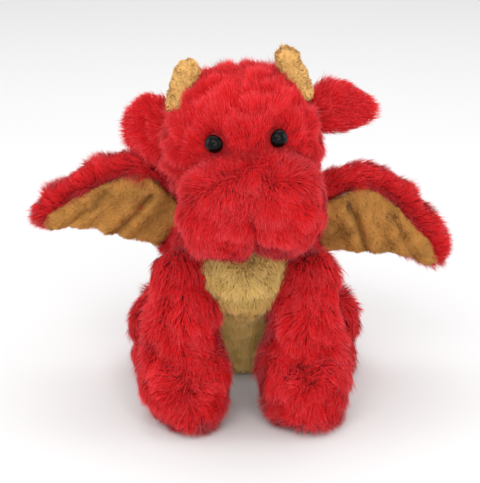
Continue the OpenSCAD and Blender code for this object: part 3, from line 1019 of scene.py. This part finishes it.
def ear_bag(side, word):
    """One ear's skin, with a slight cup and a tip that curls down."""
    place = ear_frame(side)
    bm = bmesh.new()
    outline = [(x * EAR_STRETCH[side][0], y * EAR_STRETCH[side][1]) for x, y in EAR_OUTLINE]
    add_leaf(bm, outline, place, -2.2, 2.2, 2.0)
    made = stuffed(f"ear_{word}_red", bm, 1.8, 6)
    local = np.array(place.inverted())
    points = points_of(made)
    flat = points @ local[:3, :3].T + local[:3, 3]
    flat[:, 2] += 2.2 * np.cos(flat[:, 1] / 17 * 1.4) * smooth_step(flat[:, 0], 4, 30) - 1.0
    flat[:, 1] -= 3.0 * smooth_step(flat[:, 0], 24, 42)
    out = np.array(place)
    move_points(made, flat @ out[:3, :3].T + out[:3, 3])
    return made, out


for side, word in ((1, "left"), (-1, "right")):
    ear, out = ear_bag(side, word)

    def comb_ear(points, facing, out=out):
        """Ear hair lies out towards the tip and off both edges."""
        away = points - (out[:3, 3] - out[:3, 0] * 8)
        return unit(away) * 1.2 + out[:3, 1] * 0.1

    fur(
        f"ear_fur_{word}", ear, f"ear_{word}", red_pile, comb_ear, 10.0, 330 + side, density=3.6, lift=0.7,
    )
    cover(ear, red_backing, f"ear_{word}", f"ear_{word}")

# ---- Front legs ----
# Each front leg is a soft tube of red fur that widens to a round paw, stuffed round a finger pocket.
# A stitch in the front of the paw pulls in its middle, and the hair spreads out from it.

PAW_STITCH = np.array((40.0, -157.0, 27.0))
STITCH_DEPTH = 7.0
FILLING_DEPTH = 1.8


def leg_bag(side, word):
    """One front leg's skin, flat under the paw."""
    heel, toes = mirrored(HEEL, side), mirrored(TOES, side)
    bm = bmesh.new()
    add_ball(bm, shoulder[side], SHOULDER_RADIUS - SKIN_DEPTH)
    add_rod(bm, shoulder[side], heel, SHOULDER_RADIUS - SKIN_DEPTH - 0.6, HEEL_RADIUS - SKIN_DEPTH - 1)
    add_ball(bm, heel, HEEL_RADIUS - SKIN_DEPTH)
    add_ball(bm, toes, TOE_RADIUS - SKIN_DEPTH)
    made = stuffed(f"leg_{word}_red", bm, 2.8, 5)
    points, normals = points_of(made), normals_of(made)
    points[:, 2] = np.maximum(points[:, 2], FLOOR_GAP)
    stitch = mirrored(PAW_STITCH, side) + np.array((0.0, SKIN_DEPTH, 0.0))
    dent = np.exp(-((points - stitch) ** 2).sum(axis=1) / 9.0 ** 2)
    points -= normals * (dent * STITCH_DEPTH)[:, None]
    ankle = np.exp(-((points[:, 2] - 52) / 9.0) ** 2)
    points -= normals * (ankle * 1.6)[:, None]
    points += normals * Ripple(400 + side, 34.0)(points)[:, None] * 0.9
    points[:, 2] = np.maximum(points[:, 2], FLOOR_GAP)
    middle = (heel + toes) / 2
    spread = 1 - smooth_step(points[:, 2], 6, 24)
    points[:, :2] += unit(points[:, :2] - middle[:2]) * (spread * 4.0)[:, None]
    move_points(made, points)
    return made


def comb_leg(side):
    """Down the leg, then out from the stitch in the paw."""
    stitch = mirrored(PAW_STITCH, side)

    def comb(points, facing):
        heel = mirrored(HEEL, side)
        down = np.tile(unit(heel - shoulder[side]), (len(points), 1))
        down[:, 0] += np.sign(points[:, 0] - heel[0]) * 0.2
        away = points - stitch
        near = 0.7 - 0.7 * smooth_step(np.linalg.norm(away, axis=1), 6, 30)
        lie = down * (1 - near)[:, None] + unit(away) * near[:, None]
        low = 1 - smooth_step(points[:, 2:], 5, 26)
        out = points - (heel + mirrored(TOES, side)) / 2
        out[:, 2] = -4.0
        return lie * (1 - 0.7 * low) + unit(out) * low

    return comb


def shade_leg(side):
    """Painted shade in the paw's stitch and in the fold above it; shorter hair in the stitch."""
    stitch = mirrored(PAW_STITCH, side)

    def shade(points):
        reach = np.linalg.norm((points - stitch) * (1.0, 0.5, 0.55), axis=1)
        pit = np.exp(-(reach / 4.0) ** 2)
        fold = np.exp(-((points[:, 2] - 50) / 5.0) ** 2) * smooth_step(-points[:, 1], 112, 126)
        return 1 - 0.6 * pit - 0.2 * fold, 1 - 0.35 * pit

    return shade


fibre = Finish("fibre_filling", Roughness=0.95)
puffs = fibre.noise(60.0, 6.0)
fibre.colour(puffs, (0.3, (0.72, 0.71, 0.68)), (0.7, (0.90, 0.89, 0.86)))
fibre.bump(puffs + fibre.noise(500.0, 4.0) * 0.4, 0.8, 0.003)


def fill_skin(skin, name, node, body):
    """The fibre filling just inside a skin, in its shape."""
    made = new_object(name, skin.data.copy())
    points, normals = points_of(made), normals_of(made)
    move_points(made, points - normals * FILLING_DEPTH)
    cover(made, fibre, body, node)


for side, word in ((1, "left"), (-1, "right")):
    leg = leg_bag(side, word)
    fill_skin(leg, f"leg_{word}_filling", f"leg_{word}_stuffing", f"leg_{word}")
    fur(
        f"leg_fur_{word}", leg, f"leg_{word}", red_pile, comb_leg(side), 13.0, 420 + side,
        density=2.8, width=0.45, shade=shade_leg(side),
        keep=lambda p: np.where(p[:, 2] < FLOOR_GAP + 1.0, 0.0, 1.0),
    )
    cover(leg, red_backing, f"leg_{word}", f"leg_{word}_skin")

# ---- Hind legs ----
# Each hind leg is a round thigh of red fur with a small foot in front, sewn to the side of the base.

THIGH_FACE = 42.4


def hind_bag(side, word):
    """One hind leg's skin, flat against the body and under the foot."""
    bm = bmesh.new()
    hip, foot = mirrored(HIP, side), mirrored(FOOT, side)
    add_ball(bm, hip, THIGH_RADIUS - SKIN_DEPTH)
    add_ball(bm, foot, FOOT_RADIUS - SKIN_DEPTH + 1)
    add_rod(bm, hip, foot, THIGH_RADIUS - 5 - SKIN_DEPTH, FOOT_RADIUS - SKIN_DEPTH)
    made = stuffed(f"hind_{word}_red", bm, 2.6, 4)
    points = points_of(made)
    points[:, 0] = np.maximum(points[:, 0] * side, THIGH_FACE) * side
    points[:, 2] = np.maximum(points[:, 2], FLOOR_GAP)
    move_points(made, points)
    return made


for side, word in ((1, "left"), (-1, "right")):
    hind = hind_bag(side, word)
    fill_skin(hind, f"hind_{word}_filling", f"hind_{word}_stuffing", f"hind_{word}")

    def comb_hind(points, facing, side=side):
        """Over the thigh, forwards and down to the foot."""
        return np.tile((0.15 * side, -0.5, -0.8), (len(points), 1))

    def keep_hind(points, side=side):
        """No hair under the foot or against the body."""
        return np.where((points[:, 2] < FLOOR_GAP + 1) | (points[:, 0] * side < THIGH_FACE + 1), 0.0, 1.0)

    fur(
        f"hind_fur_{word}", hind, f"hind_{word}", red_pile, comb_hind, 12.5, 460 + side,
        density=2.4, width=0.48, keep=keep_hind,
    )
    cover(hind, red_backing, f"hind_{word}", f"hind_{word}_skin")

# ---- Tail ----
# The tail is a short stuffed cone of red fur that hangs down behind the body.

TAIL_DROP = math.radians(28)
TAIL_LENGTH = 80
TAIL_RADIUS = 17
TAIL_TIP = 10
tail_root = np.array((0.0, 38.0, 60.0))
tail_way = np.array((0.0, math.cos(TAIL_DROP), -math.sin(TAIL_DROP)))
tail_end = tail_root + tail_way * TAIL_LENGTH

bm = bmesh.new()
add_ball(bm, tail_root, TAIL_RADIUS - SKIN_DEPTH)
add_rod(bm, tail_root, tail_end, TAIL_RADIUS - SKIN_DEPTH, TAIL_TIP - SKIN_DEPTH)
add_ball(bm, tail_end, TAIL_TIP - SKIN_DEPTH + 0.8)
tail = stuffed("tail_red", bm, 2.4, 4)
fur(
    "tail_fur", tail, "tail", red_pile, lambda p, n: np.tile(tail_way, (len(p), 1)), 12.5, 480,
    density=2.6, width=0.46,
)
cover(tail, red_backing, "tail", "tail_skin")

# ---- Wings ----
# Each wing has a back of long red fur that rolls over its upper edge, a thin sheet of wadding,
# and a front lining of short gold pile. Darts sewn through all three shape its scalloped lower edge.

WING_LOW = (53.0, -42.0, 90.0)
WING_HIGH = (38.0, -52.0, 128.0)
WING_LEAN = math.radians(14.8)
WING_LIFT = {1: 0.0, -1: math.radians(20)}
WING_OUTLINE = [
    (8, -19), (22, -18), (38, -21), (56, -20), (72, -25), (88, -33), (96, -30), (97, -20),
    (86, 2), (68, 27), (50, 42), (34, 46), (18, 39), (2, 26), (-6, 18),
]
LINING_OUTLINE = [
    (9, -17), (22, -16), (38, -19), (56, -18), (72, -23), (86, -30), (90, -27), (88, -18),
    (77, 0), (60, 20), (45, 33), (34, 37), (20, 31), (5, 21), (-3, 15),
]
LEADING_EDGE = [(92, -22), (81, 0), (64, 23), (48, 37), (34, 41), (19, 38), (4, 30)]
BACK_LOW = -5.2
BACK_HIGH = -1.4
LINING_LOW = 3.2
LINING_HIGH = 5.2
LINING_INSET = 1.5
WADDING_INSET = 4.0


def wing_frame(side):
    """The plane a wing lies in: outwards, upwards, and forwards through its thickness."""
    middle = (mirrored(WING_LOW, side) + mirrored(WING_HIGH, side)) / 2
    place = Matrix.Translation(Vector(middle))
    if side < 0:
        place = place @ Matrix.Diagonal((-1, 1, 1, 1))
    place = place @ Matrix.Rotation(math.radians(90) + WING_LEAN, 4, "X")
    return place @ Matrix.Rotation(WING_LIFT[side], 4, "Z")


def near_line(flat, a, b):
    """Distance from a line in the wing's plane."""
    a, b = np.array(a, float), np.array(b, float)
    t = np.clip(((flat[:, :2] - a) @ (b - a)) / ((b - a) @ (b - a)), 0, 1)
    return np.linalg.norm(flat[:, :2] - a - t[:, None] * (b - a), axis=1)


DARTS = [((26, 22), (40, -19), 2.6), ((54, 14), (73, -23), 1.4)]


def wing_folds(flat):
    """How far the lining stands forwards: puffed between its darts."""
    lift = 1.8 + 0.4 * Ripple(507, 40.0)(flat * (1, 1, 0))
    for a, b, deep in DARTS:
        off = near_line(flat, a, b)
        lift += deep * (np.exp(-((off - 6) / 5.0) ** 2) - 1.2 * np.exp(-(off / 3.0) ** 2))
    return lift


def in_wing(made, place, change):
    """Moves a mesh's points, as seen in the wing's plane."""
    inwards, out = np.array(place.inverted()), np.array(place)
    flat = points_of(made) @ inwards[:3, :3].T + inwards[:3, 3]
    flat = change(flat)
    move_points(made, flat @ out[:3, :3].T + out[:3, 3])


# The root and tip stops are painted shade between the hairs and painted light through their tips.
lining_pile = pile_finish(
    "lining_pile", (0.30, 0.11, 0.018), (0.62, 0.28, 0.065), (0.80, 0.45, 0.15), 0.5, 0.2, (1.0, 0.82, 0.55),
)
lining_backing = backing_finish("lining_backing", (0.24, 0.09, 0.016), (0.36, 0.15, 0.03))

for side, word in ((1, "left"), (-1, "right")):
    place = wing_frame(side)
    out = np.array(place)
    bm = bmesh.new()
    add_leaf(bm, WING_OUTLINE, place, BACK_LOW, BACK_HIGH, 3.0)
    for a, b in zip(LEADING_EDGE, LEADING_EDGE[1:]):
        ends = [place @ Vector((*p, -0.4)) for p in (a, b)]
        add_rod(bm, *ends, 4.6, 4.6)
        add_ball(bm, ends[1], 4.7)
    add_rod(bm, mirrored(WING_LOW, side), mirrored(WING_HIGH, side), 4.2, 4.2)
    back = stuffed(f"wing_{word}_red", bm, 1.8, 4)

    def comb_wing(points, facing, out=out):
        """Wing hair lies out towards the tip, and off the upper and lower edges."""
        flat = (points - out[:3, 3]) @ out[:3, :3]
        up = smooth_step(flat[:, 1] + 0.5 * flat[:, 0], 22, 40) - 0.5
        return out[:3, 0] * 0.8 + out[:3, 1] * up[:, None]

    def keep_wing(points, out=out):
        """Thin under the lining, which covers the back panel's inner face."""
        flat = (points - out[:3, 3]) @ out[:3, :3]
        covered = (flat[:, 2] > -2.6) & (flat[:, 2] < 1.0) & (flat[:, 1] + 0.55 * flat[:, 0] < 20)
        return np.where(covered & (flat[:, 1] > -14) & (flat[:, 0] < 84), 0.1, 1.0)

    fur(
        f"wing_fur_{word}", back, f"wing_{word}", red_pile, comb_wing, 11.0, 510 + side,
        density=2.8, width=0.45, keep=keep_wing, lift=0.7,
    )
    cover(back, red_backing, f"wing_{word}", f"wing_{word}_fur")

    bm = bmesh.new()
    add_leaf(bm, LINING_OUTLINE, place, BACK_HIGH - 0.4, LINING_LOW, WADDING_INSET)
    wadding = stuffed(f"wing_{word}_filling", bm, 1.2, 3)
    cover(wadding, fibre, f"wing_{word}", f"wing_{word}_wadding")

    bm = bmesh.new()
    add_leaf(bm, LINING_OUTLINE, place, LINING_LOW, LINING_HIGH, LINING_INSET)
    lining = stuffed(f"wing_{word}_gold", bm, 0.9, 3)

    def puff(flat):
        flat = flat.copy()
        flat[:, 2] += wing_folds(flat)
        return flat

    in_wing(lining, place, puff)

    def comb_lining(points, facing, out=out):
        """Lining pile lies down and out, stroked unevenly."""
        swirl = Ripple(530, 34.0)(points)[:, None]
        return out[:3, 0] * (0.5 + 0.3 * swirl) - out[:3, 1] * 0.5

    def keep_front(points, out=out):
        """The lining shows only its front face."""
        flat = (points - out[:3, 3]) @ out[:3, :3]
        return np.where(flat[:, 2] - wing_folds(flat) < LINING_LOW + 0.7, 0.12, 1.0)

    def shade_lining(points, out=out):
        """Painted shade in the darts, and lighter or darker in broad random patches."""
        flat = (points - out[:3, 3]) @ out[:3, :3]
        painted_shading = np.ones(len(points))
        for a, b, deep in DARTS:
            painted_shading *= 1 - 0.22 * deep * np.exp(-(near_line(flat, a, b) / 2.6) ** 2)
        return painted_shading * (0.92 + 0.16 * Ripple(533, 30.0)(points)), np.ones(len(points))

    fur(
        f"wing_nap_{word}", lining, f"wing_{word}", lining_pile, comb_lining, 3.4, 540 + side,
        density=6.5, width=0.4, keep=keep_front, lift=0.9, wild=0.25, tuft=0.35,
        shade=shade_lining,
    )
    cover(lining, lining_backing, f"wing_{word}", f"wing_{word}_lining")

# ---- Stuffing, inner glove and bound edge ----
# Inside, the puppet is filled with white polyester fibre round a sewn glove of dark lining fabric.
# The hand opening has a bound edge of ribbed tape.

cloth = Finish("glove_lining", Roughness=0.8)
weave = cloth.bands("Z", 320.0, 1.5) * cloth.bands("X", 320.0, 1.5)
cloth.colour(weave, (0.2, (0.010, 0.009, 0.009)), (0.8, (0.032, 0.028, 0.028)))
cloth.bump(weave, 0.5, 0.0004)

binding = Finish("edge_binding", Roughness=0.7)
ribs = binding.bands("Z", 420.0)
binding.colour(ribs, (0.2, (0.16, 0.004, 0.006)), (0.8, (0.38, 0.012, 0.016)))
binding.bump(ribs, 0.5, 0.0004)

for name, node in frame["nodes"].items():
    if name.endswith(("stuffing", "pad")):
        fibre.put_on(node)
    elif name.startswith(("palm", "finger")):
        cloth.put_on(node)
binding.put_on(frame["nodes"]["opening_hem"])

# ---- Floor, light and camera ----
# The puppet sits on a plain pale floor under soft light from above and in front.

FLOOR_SIZE = 8.0
floor_mesh = bpy.data.meshes.new("floor")
corner = FLOOR_SIZE / 2
floor_mesh.from_pydata(
    [(-corner, -corner, 0), (corner, -corner, 0), (corner, corner, 0), (-corner, corner, 0)],
    [], [(0, 1, 2, 3)],
)
floor = new_object("floor", floor_mesh)
pale = Finish("pale_floor", Roughness=0.9)
pale.shader.inputs["Base Color"].default_value = (0.70, 0.70, 0.70, 1.0)
pale.shader.inputs["Specular IOR Level"].default_value = 0.0
pale.put_on(floor)

scene = bpy.context.scene
scene.view_settings.view_transform = "Standard"
world = bpy.data.worlds.new("studio")
world.use_nodes = True
world.node_tree.nodes["Background"].inputs["Color"].default_value = (1.0, 1.0, 1.0, 1.0)
world.node_tree.nodes["Background"].inputs["Strength"].default_value = 0.93
scene.world = world


def soft_box(name, place, aim, size, power):
    """A large square light."""
    lamp = bpy.data.lights.new(name, "AREA")
    lamp.size = size
    lamp.energy = power
    holder = bpy.data.objects.new(name, lamp)
    scene.collection.objects.link(holder)
    holder.location = place
    holder.rotation_euler = (Vector(aim) - Vector(place)).to_track_quat("-Z", "Y").to_euler()


TARGET = Vector((-0.003, -0.088, 0.112))
soft_box("key", (-0.4, -1.2, 1.3), TARGET, 1.0, 8.0)
soft_box("fill", (0.5, -1.6, 0.5), TARGET, 1.0, 5.0)
soft_box("glint", (0.25, -0.9, 0.75), TARGET, 0.14, 1.2)
soft_box("top", (0.0, 0.5, 1.5), TARGET, 1.2, 7.0)
soft_box("low", (0.0, -1.3, 0.12), TARGET, 0.4, 1.6)
for side in (1, -1):
    soft_box("side", (1.4 * side, -0.1, 0.6), TARGET, 0.9, 5.0)

CAMERA_DISTANCE = 0.983
CAMERA_RISE = math.radians(20)
camera = bpy.data.objects.new("camera", bpy.data.cameras.new("camera"))
camera.data.lens = 109.6
camera.data.sensor_width = 36.0
camera.location = TARGET + Vector((0.0, -math.cos(CAMERA_RISE), math.sin(CAMERA_RISE))) * CAMERA_DISTANCE
camera.rotation_euler = (TARGET - camera.location).to_track_quat("-Z", "Y").to_euler()
camera.data.clip_start = 0.01
scene.collection.objects.link(camera)
scene.camera = camera
